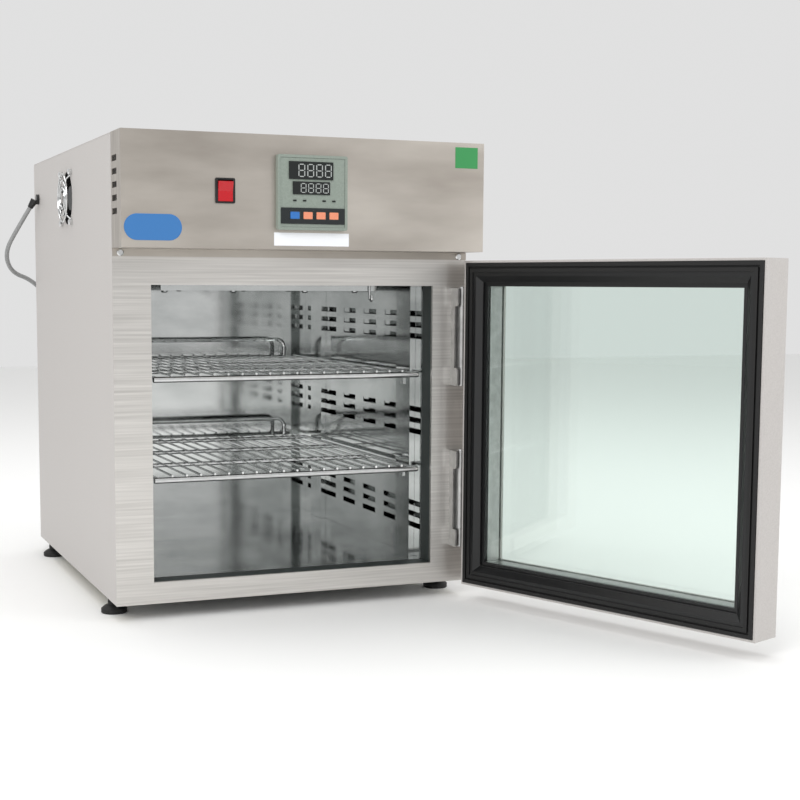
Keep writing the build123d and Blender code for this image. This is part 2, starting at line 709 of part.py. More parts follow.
def controller_face():
    """Printed front plate in the bezel, with a raised window for each display."""
    front = FASCIA_Y - CTRL_BEZEL
    half = CTRL_SIZE / 2 - CTRL_RIM - SEAT
    back = front + CTRL_RECESS - SEAT
    plate = block((-half, half), (back - 1.6, back), (CTRL_Z - half, CTRL_Z + half))
    for low, high, width in ((16.8, 39.6, 60.8), (-2.5, 14.1, 51.2)):
        window = block((-width / 2 - 2.2, width / 2 - 2.2), (back - 2.2, back), (CTRL_Z + low, CTRL_Z + high))
        plate += window
    for x in key_places().values():
        plate -= key_pocket(x, back + 1)
    return plate


def controller_key(x):
    front = FASCIA_Y - CTRL_BEZEL + CTRL_RECESS - SEAT - 1.6 - KEY_PROUD
    z = CTRL_Z - KEY_DROP
    key = block((x - KEY_W / 2, x + KEY_W / 2), (front, front + KEY_T), (z - KEY_H / 2, z + KEY_H / 2))
    return fillet(key.edges().filter_by(Axis.Y), 1.0)


def switch_housing():
    """Snap-in rocker switch body with a rim on the header's face."""
    half_w, half_h = SWITCH_W / 2, SWITCH_H / 2
    rim = block((SWITCH_X - half_w, SWITCH_X + half_w), (FASCIA_Y - SWITCH_RIM, FASCIA_Y), (SWITCH_Z - half_h, SWITCH_Z + half_h))
    rim = fillet(rim.edges().filter_by(Axis.Y), 2.0)
    body_w, body_h = SWITCH_BODY_W / 2, SWITCH_BODY_H / 2
    body = block((SWITCH_X - body_w, SWITCH_X + body_w), (FASCIA_Y, FASCIA_Y + 24), (SWITCH_Z - body_h, SWITCH_Z + body_h))
    well_w, well_h = ROCKER_W / 2 + KEY_GAP, ROCKER_H / 2 + 1.2
    well = block((SWITCH_X - well_w, SWITCH_X + well_w), (FASCIA_Y - 5, FASCIA_Y + 10), (SWITCH_Z - well_h, SWITCH_Z + well_h))
    pivot = (FASCIA_Y + ROCKER_PIVOT_IN, SWITCH_Z)
    bearing = rod((SWITCH_X - body_w - 1, *pivot), (SWITCH_X + body_w + 1, *pivot), TRUNNION_R + PIN_CLEARANCE)
    return rim + body - well - bearing


ROCKER_PIVOT_IN = 2.2
TRUNNION_R = 1.5


def switch_rocker():
    """Rocker with two facets, tilted to its off position, on trunnions."""
    half = ROCKER_H / 2
    rise = half * tan(radians(ROCKER_TILT))
    crown = -ROCKER_PIVOT_IN - SWITCH_RIM - 0.4
    outline = [(crown, 0), (crown - rise, half), (-1, half), (5, 7), (5, -7), (-1, -half), (crown - rise, -half)]
    section = Plane.YZ * make_face(Polyline(*outline, close=True))
    rocker = Pos(-ROCKER_W / 2, 0, 0) * extrude(section, ROCKER_W)
    reach = SWITCH_BODY_W / 2 - SEAT
    rocker += rod((-reach, 0, 0), (reach, 0, 0), TRUNNION_R)
    return Pos(SWITCH_X, FASCIA_Y + ROCKER_PIVOT_IN, SWITCH_Z) * Rot(ROCKER_TILT, 0, 0) * rocker


def badge_plate():
    """Blank raised plate with fully rounded ends."""
    outline = Plane.XZ * SlotOverall(BADGE_W, BADGE_H)
    plate = extrude(outline, BADGE_T)
    plate = chamfer(plate.faces().sort_by(Axis.Y)[0].edges(), BADGE_T / 3)
    return Pos(BADGE_X, FASCIA_Y, BADGE_Z) * plate


# ---------------------------------------------------------------- door, built closed

DOOR_X = (DOOR_EDGE_X - DOOR_W, DOOR_EDGE_X)
DOOR_Y = (-DOOR_GAP - DOOR_T, -DOOR_GAP)
DOOR_Z = (DOOR_BOTTOM_Z, DOOR_BOTTOM_Z + DOOR_H)


def inset(limits, amount):
    """Pair of limits moved inwards at both ends."""
    return (limits[0] + amount, limits[1] - amount)


def door_frame():
    """Metal frame: a face round the glass and deep sides, open to the rear."""
    outer = block(DOOR_X, DOOR_Y, DOOR_Z)
    outer = chamfer(outer.faces().sort_by(Axis.Y)[0].edges(), DOOR_BEVEL)
    face_back = DOOR_Y[1] - PANE_DEPTH - 2 * GLASS_T - SPACER_T
    pocket = block(inset(DOOR_X, DOOR_SKIN), (face_back, 1), inset(DOOR_Z, DOOR_SKIN))
    window = block(inset(DOOR_X, DOOR_BORDER), (DOOR_Y[0] - 1, 1), inset(DOOR_Z, DOOR_BORDER))
    return outer - pocket - window


def stepped_opening():
    """Tool that cuts the stepped and sloped opening of the black inner frame."""
    aperture = DOOR_BORDER
    face = DOOR_Y[1]
    tool = block(inset(DOOR_X, aperture), (DOOR_Y[0], 1), inset(DOOR_Z, aperture))
    tool += block(inset(DOOR_X, aperture - 5), (face - 9, 1), inset(DOOR_Z, aperture - 5))
    wide_x, wide_z = inset(DOOR_X, aperture - 14), inset(DOOR_Z, aperture - 14)
    narrow_x, narrow_z = inset(DOOR_X, aperture - 6), inset(DOOR_Z, aperture - 6)
    centre_x = (DOOR_X[0] + DOOR_X[1]) / 2
    centre_z = (DOOR_Z[0] + DOOR_Z[1]) / 2
    sections = []
    for y, x, z in ((face - 6, narrow_x, narrow_z), (face, wide_x, wide_z)):
        plane = Plane(origin=(centre_x, y, centre_z), x_dir=(1, 0, 0), z_dir=(0, -1, 0))
        sections.append(plane * Rectangle(x[1] - x[0], z[1] - z[0]))
    return tool + loft(sections)


def door_liner():
    """Black inner frame that holds the gasket and the inner pane."""
    face = DOOR_Y[1]
    pane_back = face - PANE_DEPTH - 2 * GLASS_T - SPACER_T
    outside = DOOR_SKIN + SEAT
    liner = block(inset(DOOR_X, outside), (pane_back + SEAT, face), inset(DOOR_Z, outside))
    liner -= stepped_opening()
    glass = DOOR_BORDER - GLASS_GRIP - SEAT
    liner -= block(inset(DOOR_X, glass), (pane_back, face - PANE_DEPTH), inset(DOOR_Z, glass))
    groove = frame_ring(inset(DOOR_X, outside - 1), inset(DOOR_Z, outside - 1), GASKET_W + 1, (face - GASKET_SEAT, face + 1))
    return liner - groove


def door_gasket():
    """Soft seal with two lips and a groove between them."""
    face = DOOR_Y[1]
    start = DOOR_SKIN + 2 * SEAT
    lip = GASKET_W / 2 - 1.5
    base_y = (face - GASKET_SEAT + SEAT, face - GASKET_SEAT / 2)
    width = GASKET_W - 2 * SEAT
    gasket = frame_ring(inset(DOOR_X, start), inset(DOOR_Z, start), width, base_y)
    lip_y = (base_y[1], face + GASKET_PROUD)
    for offset_in in (0, width - lip):
        ring = frame_ring(inset(DOOR_X, start + offset_in), inset(DOOR_Z, start + offset_in), lip, lip_y)
        gasket += ring
    return gasket


def pane(depth):
    """Glass pane whose nearer face lies at a depth behind the door's inner face."""
    edge = DOOR_BORDER - GLASS_GRIP
    face = DOOR_Y[1] - depth
    return block(inset(DOOR_X, edge), (face - GLASS_T + SEAT, face - SEAT), inset(DOOR_Z, edge))


def glass_spacer():
    """Hollow-section frame that holds the two panes apart."""
    edge = DOOR_BORDER - GLASS_GRIP
    near = DOOR_Y[1] - PANE_DEPTH - GLASS_T
    return frame_ring(inset(DOOR_X, edge), inset(DOOR_Z, edge), GLASS_GRIP - 1, (near - SPACER_T, near))


def door_handle():
    """Round bow handle on the outer face, near the free edge."""
    x = DOOR_X[0] + HANDLE_INSET
    middle = (DOOR_Z[0] + DOOR_Z[1]) / 2
    low, high = middle - HANDLE_L / 2, middle + HANDLE_L / 2
    face, out = DOOR_Y[0], DOOR_Y[0] - HANDLE_OUT
    points = [(x, face, low), (x, out, low), (x, out, high), (x, face, high)]
    return bent_wire(points, 14.0, HANDLE_R)


def hinge_bracket(middle):
    """Fixed half of a hinge: a flange on the frame, a side web with arms, and two knuckles."""
    low, high = middle - HINGE_L / 2, middle + HINGE_L / 2
    flange = block((ARM_X, SIDE_X - 1), (-HINGE_T, 0), (low, high))
    web = block((ARM_X, ARM_X + HINGE_T), (-ARM_WEB_OUT, 0), (low, high))
    bracket = flange + web
    for z in ((low, low + ARM_L), (high - ARM_L, high)):
        arm = block((ARM_X, ARM_X + HINGE_T), (-ARM_OUT, 0), z)
        arm = fillet(arm.edges().filter_by(Axis.X).group_by(Axis.Y)[0], 4.0)
        knuckle = rod((PIVOT_X, PIVOT_Y, z[0]), (PIVOT_X, PIVOT_Y, z[1]), KNUCKLE_R)
        neck = block((PIVOT_X - KNUCKLE_R, PIVOT_X + KNUCKLE_R), (PIVOT_Y, 0), z)
        bracket += arm + knuckle + neck
    return bracket - rod((PIVOT_X, PIVOT_Y, low - 1), (PIVOT_X, PIVOT_Y, high + 1), PIN_R + PIN_CLEARANCE)


def hinge_pin(middle):
    """Pin with a flat head that hangs it in the upper knuckle."""
    low, high = middle - HINGE_L / 2, middle + HINGE_L / 2
    pin = rod((PIVOT_X, PIVOT_Y, low), (PIVOT_X, PIVOT_Y, high + SEAT), PIN_R)
    return pin + rod((PIVOT_X, PIVOT_Y, high + SEAT), (PIVOT_X, PIVOT_Y, high + 2), PIN_R + 1.5)


def hinge_leaf(middle):
    """Moving half of a hinge: a barrel on the pin and a flange on the door's edge."""
    reach = HINGE_L / 2 - ARM_L - KNUCKLE_GAP
    z = (middle - reach, middle + reach)
    barrel = rod((PIVOT_X, PIVOT_Y, z[0]), (PIVOT_X, PIVOT_Y, z[1]), KNUCKLE_R)
    web_y = (PIVOT_Y - KNUCKLE_R, PIVOT_Y - KNUCKLE_R + HINGE_T)
    web = block((DOOR_EDGE_X, PIVOT_X), web_y, z)
    flange = block((DOOR_EDGE_X, DOOR_EDGE_X + HINGE_T), (DOOR_Y[0] + DOOR_BEVEL + 1, web_y[1]), z)
    flange = fillet(flange.edges().filter_by(Axis.X).group_by(Axis.Y)[0], 3.0)
    leaf = barrel + web + flange
    return leaf - rod((PIVOT_X, PIVOT_Y, z[0] - 1), (PIVOT_X, PIVOT_Y, z[1] + 1), PIN_R + PIN_CLEARANCE)


# ---------------------------------------------------------------- feet, screws and lead

def levelling_foot(x, y):
    """Screw-in foot: a bell-shaped pad, a lock nut and a threaded stem."""
    profile = [(0, 0), (FOOT_R - 1, 0), (FOOT_R, 1), (FOOT_R, 6), (FOOT_R - 4, 9.5), (8.5, 12), (8.5, 15), (STEM_R, 15), (STEM_R, STEM_TOP), (0, STEM_TOP)]
    section = Plane.XZ * make_face(Polyline(*profile, close=True))
    foot = revolve(section, Axis.Z)
    nut = Pos(0, 0, 15) * extrude(RegularPolygon(8.5, 6), FOOT_H - 15 - SEAT)
    return Pos(x, y, 0) * (foot + nut)


def pan_head(point, direction, shank):
    """Pan-head screw whose head's underside is at a point."""
    start = Vector(*point)
    axis = Vector(*direction).normalized()
    head = rod(start, start + axis * SCREW_HEAD_H, SCREW_HEAD_R)
    rim = head.edges().filter_by(GeomType.CIRCLE).sort_by(lambda edge: (edge.center() - start).dot(axis))[-1]
    head = chamfer(rim, SCREW_HEAD_H / 2)
    return head + rod(start - axis * shank, start + axis, GUARD_SCREW_R)


SCREW_HEAD_R = 4.6
SCREW_HEAD_H = 2.8


def cabinet_screws():
    """Pan-head screws of the trim strip, the fan guard and the ceiling tray."""
    screws = []
    for x in (-SIDE_X + 10, SIDE_X - 12):
        screws.append(pan_head((x, -SKIN - SEAT, STRIP_Z + 4.6), (0, -1, 0), 0))
    eye_x = -SIDE_X - SEAT - GUARD_EYE_T
    for y, z in fan_hole_places():
        screws.append(pan_head((eye_x, y, z), (-1, 0, 0), 14))
    for x, y in tray_screw_places():
        screws.append(pan_head((x, y, TRAY_Z - SEAT), (0, 0, -1), TRAY_H - 2 * SEAT))
    return screws


def cord_gland():
    """Strain relief in the left side: a flanged collar and a sleeve that droops with the lead."""
    mouth, end = Vector(CORD_MOUTH), Vector(CORD_ROUTE[0])
    droop = Vector(CORD_ROUTE[1]) - end
    collar = rod((-SIDE_X + 4 * SKIN, GLAND_Y, GLAND_Z), (-SIDE_X, GLAND_Y, GLAND_Z), GLAND_STEM_R)
    collar += rod((-SIDE_X - SEAT, GLAND_Y, GLAND_Z), (-SIDE_X - SEAT - GLAND_FLANGE, GLAND_Y, GLAND_Z), GLAND_R)
    collar += rod((-SIDE_X, GLAND_Y, GLAND_Z), (-SIDE_X - 1, GLAND_Y, GLAND_Z), GLAND_STEM_R)
    start = end - droop.normalized() * GLAND_SLEEVE
    sleeve = Solid.make_cone(GLAND_R - 2, CORD_R + 0.8, GLAND_SLEEVE, Plane(origin=start, z_dir=droop))
    return collar + sleeve


# Route of the mains lead, from the gland round the rear corner and down to the coil.
CORD_MOUTH = (-SIDE_X, GLAND_Y, GLAND_Z)
CORD_ROUTE = [
    (-264.0, 540.0, 563.0),
    (-283.0, 549.0, 530.0),
    (-301.0, 569.0, 492.0),
    (-288.0, 594.0, 460.0),
    (-252.0, 609.0, 448.0),
    (-222.0, 613.0, 416.0),
    (-214.0, 608.0, 352.0),
    (-219.0, 606.0, 278.0),
    (-213.0, 608.0, 200.0),
    (-217.0, 606.0, 128.0),
    (-211.0, 609.0, 68.0),
    (-202.0, 622.0, 22.0),
    (-197.0, 658.0, 6.5),
]


def cord_radii(points):
    """Bend radius at each corner: as large as its two runs allow."""
    vectors = [Vector(*point) for point in points]
    radii = []
    for before, corner, after in zip(vectors, vectors[1:], vectors[2:]):
        arriving, leaving = corner - before, after - corner
        turn = radians(arriving.get_angle(leaving))
        shorter = min(arriving.length, leaving.length)
        radii.append(0.45 * shorter / tan(turn / 2))
    return radii


def mains_cord():
    """Free stretch of the lead, as straight runs joined by large bends."""
    radii = cord_radii(CORD_ROUTE)
    print("cord bend radii", [round(radius) for radius in radii])
    path = FilletPolyline(*CORD_ROUTE, radius=radii)
    section = Plane(origin=path @ 0, z_dir=path % 0) * Circle(CORD_R)
    cord = sweep(section, path=path)
    print("cord length", round(path.length), "volume over section", round(cord.volume / (pi * CORD_R ** 2)))
    return cord


def mains_cord_coil():
    """Outer shape of the neat coil that the rest of the lead is wound into."""
    width = COIL_TURNS_WIDE * 2 * CORD_R
    height = COIL_TURNS_HIGH * 2 * CORD_R
    section = Plane.XZ * Pos(COIL_TURN_R, height / 2) * RectangleRounded(width, height, CORD_R * 0.9)
    return Pos(COIL_X, COIL_Y, 0) * revolve(section, Axis.Z)


def mains_plug():
    """Moulded three-pin plug, lying beside the coil on the bench."""
    body = block((0, PLUG_L), (-PLUG_W / 2, PLUG_W / 2), (0, PLUG_T))
    body = fillet(body.edges().filter_by(Axis.Z), 7.0)
    body = fillet(body.faces().sort_by(Axis.Z)[-1].edges(), 4.0)
    tail = rod((-30, 0, CORD_R + 1), (2, 0, CORD_R + 3), CORD_R + 1)
    face_x = PLUG_L
    blades = []
    for y, z, tilt in ((-7, 14.5, 30), (7, 14.5, -30), (0, 5, 90)):
        blade = block((-1, 17), (-0.8, 0.8), (-3.1, 3.1))
        blades.append(Pos(face_x, y, z) * Rot(tilt, 0, 0) * blade)
    plug = body + tail + blades
    tangent_y = COIL_Y + COIL_TURN_R + CORD_R * COIL_TURNS_WIDE - CORD_R
    return Pos(COIL_X + PLUG_OFFSET_X, tangent_y, 0) * plug


PLUG_OFFSET_X = 38.0


# ---------------------------------------------------------------- the assembly

def assembly():
    """Every piece by its node name."""
    parts = {
        "side_panel_left": side_panel_left(),
        "side_panel_right": side_panel_right(),
        "top_cover": top_cover(),
        "rear_panel": rear_panel(),
        "base_pan": base_pan(),
        "front_frame": front_frame(),
        "header_strip": header_strip(),
        "header_fascia": header_fascia(),
        "control_deck": control_deck(),
        "insulation": insulation(),
        "breaker_frame": breaker_frame(),
        "chamber_liner": chamber_liner(),
        "duct_panel_left": duct_panel_left(),
        "duct_panel_right": duct_panel_right(),
        "shelf_clips": shelf_clips(),
        "ceiling_tray": ceiling_tray(),
        "temperature_probe": temperature_probe(),
        "heater_elements": heater_elements(),
        "circulation_motor": circulation_motor(),
        "circulation_fan": circulation_fan(),
        "cooling_fan_frame": cooling_fan_frame(),
        "cooling_fan_rotor": cooling_fan_rotor(),
        "fan_finger_guard": fan_finger_guard(),
        "controller_housing": controller_housing(),
        "controller_face": controller_face(),
        "switch_housing": switch_housing(),
        "switch_rocker": switch_rocker(),
        "badge_plate": badge_plate(),
        "cabinet_screws": cabinet_screws(),
        "cord_gland": cord_gland(),
        "mains_cord": mains_cord(),
        "mains_cord_coil": mains_cord_coil(),
        "mains_plug": mains_plug(),
    }
    for place, y in (("front", UPRIGHT_FRONT_Y), ("rear", UPRIGHT_REAR_Y)):
        right = upright_right(y)
        parts[f"upright_{place}_right"] = right
        parts[f"upright_{place}_left"] = mirrored(right)
    for name, height in SHELF_HEIGHTS.items():
        parts[name] = wire_shelf(height)
    for name, x in key_places().items():
        parts[name] = controller_key(x)
    for name, (x, y) in foot_places().items():
        parts[name] = levelling_foot(x, y)
    for place, middle in HINGE_HEIGHTS.items():
        parts[f"hinge_bracket_{place}"] = hinge_bracket(middle)
        parts[f"hinge_pin_{place}"] = hinge_pin(middle)
        parts[f"hinge_leaf_{place}"] = swung(hinge_leaf(middle))
    door = {
        "door_frame": door_frame(),
        "door_liner": door_liner(),
        "door_gasket": door_gasket(),
        "glass_inner": pane(PANE_DEPTH),
        "glass_outer": pane(PANE_DEPTH + GLASS_T + SPACER_T),
        "glass_spacer": glass_spacer(),
        "door_handle": door_handle(),
    }
    for name, piece in door.items():
        parts[name] = swung(piece)
    return parts


os.makedirs("parts", exist_ok=True)
for node, shape in assembly().items():
    solid_group = Compound(children=shape) if isinstance(shape, list) else shape
    export_step(solid_group, f"parts/{node}.step")
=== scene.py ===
import math

import bmesh
import bpy
from mathutils import Matrix, Vector


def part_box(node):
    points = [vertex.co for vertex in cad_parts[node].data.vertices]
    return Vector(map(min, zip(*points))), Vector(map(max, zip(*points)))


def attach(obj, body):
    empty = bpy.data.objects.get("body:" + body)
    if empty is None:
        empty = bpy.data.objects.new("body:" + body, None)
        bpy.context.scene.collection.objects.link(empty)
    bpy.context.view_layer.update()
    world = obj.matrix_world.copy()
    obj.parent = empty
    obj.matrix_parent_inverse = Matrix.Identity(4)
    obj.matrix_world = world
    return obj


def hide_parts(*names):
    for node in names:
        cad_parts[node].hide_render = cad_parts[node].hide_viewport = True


bl_info = {
    "name": "Laboratory incubator",
    "version": (1, 0, 0),
    "blender": (4, 5, 0),
    "location": "View3D > Sidebar > Incubator",
    "description": "Dresses the packed incubator model with its finishes and small pieces",
    "category": "Object",
}

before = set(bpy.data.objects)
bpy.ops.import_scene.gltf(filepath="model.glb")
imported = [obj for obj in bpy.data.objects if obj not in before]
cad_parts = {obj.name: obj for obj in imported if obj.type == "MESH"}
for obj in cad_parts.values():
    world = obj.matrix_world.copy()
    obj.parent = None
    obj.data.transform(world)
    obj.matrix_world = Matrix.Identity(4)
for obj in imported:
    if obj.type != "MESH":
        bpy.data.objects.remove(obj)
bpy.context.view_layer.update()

# Route of the mains lead in metres, from its gland to the coil: the solid model's points without its last.
LEAD_ROUTE = [
    (-0.264, 0.540, 0.563), (-0.283, 0.549, 0.530), (-0.301, 0.569, 0.492),
    (-0.288, 0.594, 0.460), (-0.252, 0.609, 0.448), (-0.222, 0.613, 0.416),
    (-0.214, 0.608, 0.352), (-0.219, 0.606, 0.278), (-0.213, 0.608, 0.200),
    (-0.217, 0.606, 0.128), (-0.211, 0.609, 0.068), (-0.202, 0.622, 0.022),
]
COIL_TURNS = 4
COIL_START = math.pi + 0.2   # angle of its first point, in radians
POINTS_A_TURN = 14

CAMERA_PLACE = (-0.6606, -1.882, 0.4444)
CAMERA_YAW, CAMERA_PITCH, CAMERA_ROLL = 22.18, -6.05, 0.28   # degrees
LENS_MM = 66.4
SENSOR_MM = 36.0
SHIFT = (0.0375, 0.05)
FLOOR_REACH = 6.0
LIGHTS_AIM = Vector((0.0, 0.1, 0.3))
# name, place, size in metres, power in watts
LIGHTS = (
    ("key", (-2.2, -2.2, 2.4), 2.0, 55.0),
    ("fill", (2.4, -1.8, 1.6), 2.0, 22.0),
    ("top", (0.0, 0.4, 2.8), 2.4, 30.0),
)

# On the controller, in metres from its left and top edges: left, right, top and bottom of each piece.
WINDOWS = ((0.015, 0.0759, 0.0084, 0.0312), (0.0202, 0.0714, 0.0339, 0.0505))
BAND = (0.0042, 0.0918, 0.0676, 0.0882)
KEY_GAP = 0.0006
LAMPS = (0.023, 0.0366, 0.0634, 0.0768)   # middle of each lamp from the left
LAMP_DROP = 0.0583
LAMP_HALF = (0.0024, 0.001)
# Digits as shares of their window, and their segments as shares of a digit.
DIGITS = 4
DIGIT_FIRST, DIGIT_PITCH, DIGIT_WIDTH = 0.22, 0.2, 0.13
DIGIT_FOOT, DIGIT_HEIGHT = 0.16, 0.68
BAR_WIDTH = 0.16
SEGMENT_STARTS, SEGMENT_LENGTH = (0.04, 0.54), 0.42
# Label: past the controller's left and right, then its top and bottom below the controller.
LABEL = (0.0025, 0.005, 0.0034, 0.0203)
# Sticker: its sides in from the fascia's right edge, then its top and bottom below the fascia's top.
STICKER = (0.043, 0.0095, 0.006, 0.034)


def linear(code):
    """sRGB hex to a linear colour with alpha."""
    channels = [int(code[i:i + 2], 16) / 255 for i in (1, 3, 5)]
    return [c / 12.92 if c < 0.04045 else ((c + 0.055) / 1.055) ** 2.4 for c in channels] + [1.0]


def add_node(tree, kind, links=(), **settings):
    """Adds a node, sets its named properties or sockets, and links (output, input) pairs."""
    node = tree.nodes.new(kind)
    for key, value in settings.items():
        if key in node.inputs:
            node.inputs[key].default_value = value
        else:
            setattr(node, key, value)
    for output, socket in links:
        tree.links.new(output, node.inputs[socket])
    return node


def material(name, colour, **sockets):
    """A Principled material; keyword names use _ for the spaces of its sockets."""
    made = bpy.data.materials.new(name)
    made.use_nodes = True
    shader = made.node_tree.nodes["Principled BSDF"]
    shader.inputs["Base Color"].default_value = linear(colour)
    for key, value in sockets.items():
        shader.inputs[key.replace("_", " ")].default_value = value
    return made


def textured(made, low, high, grain_mm, roughness, bump):
    """Colour, roughness and bump from one noise; grain_mm is its length along X, Y and Z."""
    tree = made.node_tree
    shader = tree.nodes["Principled BSDF"]
    place = add_node(tree, "ShaderNodeTexCoord")
    scale = [1000 / size for size in grain_mm]
    mapping = add_node(tree, "ShaderNodeMapping", [(place.outputs["Object"], "Vector")], Scale=scale)
    lookup = [(mapping.outputs["Vector"], "Vector")]
    noise = add_node(tree, "ShaderNodeTexNoise", lookup, Scale=1.0, Detail=4.0)
    ramp = add_node(tree, "ShaderNodeValToRGB", [(noise.outputs["Fac"], "Fac")])
    for stop, position, colour in zip(ramp.color_ramp.elements, (0.3, 0.7), (low, high)):
        stop.position, stop.color = position, linear(colour)
    tree.links.new(ramp.outputs["Color"], shader.inputs["Base Color"])
    spread = add_node(tree, "ShaderNodeMapRange", [(noise.outputs["Fac"], "Value")])
    spread.inputs["To Min"].default_value, spread.inputs["To Max"].default_value = roughness
    tree.links.new(spread.outputs["Result"], shader.inputs["Roughness"])
    heights = [(noise.outputs["Fac"], "Height")]
    dents = add_node(tree, "ShaderNodeBump", heights, Strength=bump, Distance=0.0005)
    tree.links.new(dents.outputs["Normal"], shader.inputs["Normal"])
    return made


def paint(made, *names):
    """Gives the named nodes one material in place of their own."""
    for name in names:
        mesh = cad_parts[name].data
        mesh.materials.clear()
        mesh.materials.append(made)


def mesh_piece(name, shape, made, body):
    """Turns a bmesh into a named object that rides on a body."""
    mesh = bpy.data.meshes.new(name)
    shape.to_mesh(mesh)
    shape.free()
    mesh.materials.append(made)
    piece = bpy.data.objects.new(name, mesh)
    bpy.context.scene.collection.objects.link(piece)
    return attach(piece, body)


def plate(shape, x, y, z):
    """Adds a box with slightly rounded edges between the limits."""
    size = Vector((x[1] - x[0], y[1] - y[0], z[1] - z[0]))
    centre = Vector((x[0] + x[1], y[0] + y[1], z[0] + z[1])) / 2
    place = Matrix.Translation(centre) @ Matrix.Diagonal((*size, 1.0))
    made = bmesh.ops.create_cube(shape, size=1.0, matrix=place)
    edges = list({edge for vert in made["verts"] for edge in vert.link_edges})
    bmesh.ops.bevel(shape, geom=edges, offset=min(size) * 0.3, segments=2, affect="EDGES")


class IncubatorFinish(bpy.types.PropertyGroup):
    header_dark: bpy.props.StringProperty(
        name="Header, dark",
        description="Darker colour of the header's steel, as sRGB hex",
        default="#a8a199",
    )
    header_light: bpy.props.StringProperty(
        name="Header, light",
        description="Lighter colour of the header's steel, as sRGB hex",
        default="#c6c0b8",
    )
    side_dark: bpy.props.StringProperty(
        name="Sides, dark",
        description="Darker colour of the coated sheets, as sRGB hex",
        default="#b5b1ae",
    )
    side_light: bpy.props.StringProperty(
        name="Sides, light",
        description="Lighter colour of the coated sheets, as sRGB hex",
        default="#c0bcb9",
    )
    label: bpy.props.StringProperty(
        name="Label",
        description="Colour of the blank label, as sRGB hex",
        default="#eceef2",
    )


class IncubatorLead(bpy.types.PropertyGroup):
    diameter: bpy.props.FloatProperty(
        name="Diameter",
        description="Diameter of the mains lead",
        default=0.007,
        unit="LENGTH",
    )


class INCUBATOR_OT_stage(bpy.types.Operator):
    """Makes the camera, the pale floor and the soft studio lights"""

    bl_idname = "incubator.stage"
    bl_label = "Stage"

    def execute(self, context):
        data = bpy.data.cameras.new("camera")
        data.lens, data.sensor_width = LENS_MM, SENSOR_MM
        data.shift_x, data.shift_y = SHIFT
        camera = bpy.data.objects.new("camera", data)
        context.scene.collection.objects.link(camera)
        yaw, pitch, roll = map(math.radians, (CAMERA_YAW, CAMERA_PITCH, CAMERA_ROLL))
        level = math.cos(pitch)
        ahead = Vector((math.sin(yaw) * level, math.cos(yaw) * level, math.sin(pitch)))
        right = Vector((math.cos(yaw), -math.sin(yaw), 0.0))
        up = right.cross(ahead)
        side = right * math.cos(roll) + up * math.sin(roll)
        top = -right * math.sin(roll) + up * math.cos(roll)
        turn = Matrix((side, top, -ahead)).transposed().to_4x4()
        camera.matrix_world = Matrix.Translation(CAMERA_PLACE) @ turn
        context.scene.camera = camera
        floor = bpy.data.meshes.new("floor")
        far = FLOOR_REACH
        corners = [(-far, -far, 0), (far, -far, 0), (far, far, 0), (-far, far, 0)]
        floor.from_pydata(corners, [], [(0, 1, 2, 3)])
        floor.materials.append(material("pale_floor", "#f4f4f3", Roughness=0.7))
        ground = bpy.data.objects.new("floor", floor)
        context.scene.collection.objects.link(ground)
        world = bpy.data.worlds.new("studio")
        world.use_nodes = True
        sky = world.node_tree.nodes["Background"].inputs
        sky["Color"].default_value = linear("#ffffff")
        sky["Strength"].default_value = 0.75
        context.scene.world = world
        for name, spot, size, power in LIGHTS:
            light = bpy.data.lights.new(name, "AREA")
            light.size, light.energy = size, power
            lamp = bpy.data.objects.new(name, light)
            context.scene.collection.objects.link(lamp)
            lamp.location = spot
            lamp.rotation_euler = (LIGHTS_AIM - Vector(spot)).to_track_quat("-Z", "Y").to_euler()
        context.scene.view_settings.view_transform = "Standard"
        return {"FINISHED"}


class INCUBATOR_OT_lead(bpy.types.Operator):
    """Runs the mains lead from its gland to the coil behind the cabinet"""

    bl_idname = "incubator.lead"
    bl_label = "Mains lead"

    def execute(self, context):
        radius = context.scene.incubator_lead.diameter / 2
        low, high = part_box("mains_cord_coil")
        centre = (low + high) / 2
        outer = (high.x - low.x) / 2 - radius
        points = list(LEAD_ROUTE)
        for index in range(COIL_TURNS * POINTS_A_TURN):
            angle = COIL_START - index * 2 * math.pi / POINTS_A_TURN
            turn = index // POINTS_A_TURN
            ring = outer - (2 * radius if turn % 2 else 0)
            z = radius * (3 if turn < COIL_TURNS / 2 else 1)
            points.append((centre.x + ring * math.cos(angle), centre.y + ring * math.sin(angle), z))
        curve = bpy.data.curves.new("mains_lead", "CURVE")
        curve.dimensions, curve.bevel_depth, curve.use_fill_caps = "3D", radius, True
        spline = curve.splines.new("NURBS")
        spline.points.add(len(points) - 1)
        for point, place in zip(spline.points, points):
            point.co = (*place, 1.0)
        spline.order_u = 3
        spline.use_endpoint_u = True
        # Extruded PVC sheath: matt, slightly mottled grey.
        sheath = material("extruded_pvc_sheath", "#8e8f8f")
        curve.materials.append(textured(sheath, "#868787", "#979898", (3, 3, 3), (0.45, 0.6), 0.1))
        lead = bpy.data.objects.new("mains_lead", curve)
        context.scene.collection.objects.link(lead)
        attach(lead, "cabinet")
        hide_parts("mains_cord", "mains_cord_coil")
        line = curve.copy()
        line.bevel_depth = 0.0
        ghost = bpy.data.objects.new("line", line)
        context.scene.collection.objects.link(ghost)
        context.view_layer.update()
        drawn = ghost.evaluated_get(context.evaluated_depsgraph_get())
        mesh = bpy.data.meshes.new_from_object(drawn)
        bpy.data.objects.remove(ghost)
        return {"FINISHED"}


